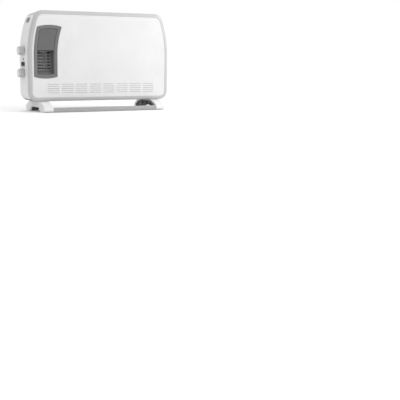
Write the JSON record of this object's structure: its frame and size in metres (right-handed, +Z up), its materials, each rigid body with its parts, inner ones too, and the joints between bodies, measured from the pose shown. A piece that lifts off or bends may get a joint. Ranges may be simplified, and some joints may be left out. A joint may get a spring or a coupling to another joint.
{
  "type": "fan convector heater",
  "caption": "Slim floor-standing fan convector heater with a beveled front, a hooded fan outlet beside the control end, vent slots and two feet tied by a cross bar.",
  "frame": {"origin": "middle of the overall footprint, on the surface that the feet stand on", "axes": "+X to the heater's right seen from the front, along the case's length; -Y is the front, where the fan outlet and vents are; +Z up"},
  "size_m": [0.6216, 0.19, 0.38],
  "materials": {
    "white_panel": "smooth satin white powder coat",
    "white_plastic": "fine-textured white moulded plastic",
    "grey_trim": "light grey satin moulded plastic",
    "dark_grey_plastic": "dark grey moulded plastic",
    "bar_grey": "mid grey satin paint",
    "black_plastic": "black moulded plastic",
    "pad_rubber": "black rubber",
    "zinc_steel": "zinc-plated steel",
    "aluminium": "plain aluminium",
    "lamp_lens": "unlit smoky lamp lens",
    "ceramic": "cream ceramic"
  },
  "bodies": {
    "heater_case": {"front_frame": "grey_trim", "front_panel": "white_panel", "left_end_cap": "white_plastic", "right_end_cap": "white_plastic", "top_outlet_grille": "white_plastic", "base_plate": "dark_grey_plastic", "rear_panel": "white_panel", "left_grip_liner": "grey_trim", "right_grip_liner": "grey_trim", "rear_screw_left_1": "zinc_steel", "rear_screw_left_2": "zinc_steel", "rear_screw_right_1": "zinc_steel", "rear_screw_right_2": "zinc_steel", "outlet_surround": "dark_grey_plastic", "outlet_hood": "dark_grey_plastic", "outlet_grille": "dark_grey_plastic", "blower_housing": "black_plastic", "shaft_bush": "black_plastic", "blower_motor": "zinc_steel", "motor_bracket": "zinc_steel", "lower_heating_element": "aluminium", "upper_heating_element": "aluminium", "element_bracket_left": "zinc_steel", "element_bracket_right": "zinc_steel", "heat_shield": "zinc_steel", "thermal_cutout": "ceramic", "terminal_block": "ceramic", "cable_gland": "black_plastic", "gland_nut": "black_plastic", "thermostat_body": "black_plastic", "selector_body": "black_plastic", "rocker_housing": "black_plastic", "pilot_lamp_lens": "lamp_lens", "pilot_lamp_holder": "black_plastic", "left_foot_cover": "white_plastic", "left_foot_core": "dark_grey_plastic", "left_front_pad": "pad_rubber", "left_rear_pad": "pad_rubber", "left_front_foot_screw": "zinc_steel", "left_rear_foot_screw": "zinc_steel", "right_foot_cover": "white_plastic", "right_foot_core": "dark_grey_plastic", "right_front_pad": "pad_rubber", "right_rear_pad": "pad_rubber", "right_front_foot_screw": "zinc_steel", "right_rear_foot_screw": "zinc_steel", "cross_bar": "bar_grey"},
    "thermostat_dial": {"thermostat_spindle": "zinc_steel", "thermostat_knob": "grey_trim", "thermostat_knob_cap": "white_plastic"},
    "selector_dial": {"selector_spindle": "zinc_steel", "selector_knob": "grey_trim", "selector_knob_cap": "white_plastic"},
    "rocker_button": {"rocker": "black_plastic"},
    "blower_rotor": {"blower_wheel": "aluminium", "motor_shaft": "zinc_steel"}
  },
  "joints": [
    {"name": "thermostat_turn", "type": "hinge", "parent": "heater_case", "child": "thermostat_dial", "pos_m": [-0.28925, 0.006, 0.2285], "axis": [1, 0, 0], "range_deg": [0, 270]},
    {"name": "selector_turn", "type": "hinge", "parent": "heater_case", "child": "selector_dial", "pos_m": [-0.28925, 0.006, 0.145], "axis": [1, 0, 0], "range_deg": [0, 180]},
    {"name": "rocker_tilt", "type": "hinge", "parent": "heater_case", "child": "rocker_button", "pos_m": [-0.28525, 0.006, 0.179], "axis": [0, 0, 1], "range_deg": [0, 16]},
    {"name": "blower_spin", "type": "hinge", "parent": "heater_case", "child": "blower_rotor", "pos_m": [-0.21725, 0.01, 0.19], "axis": [0, 0, 1], "continuous": true}
  ]
}
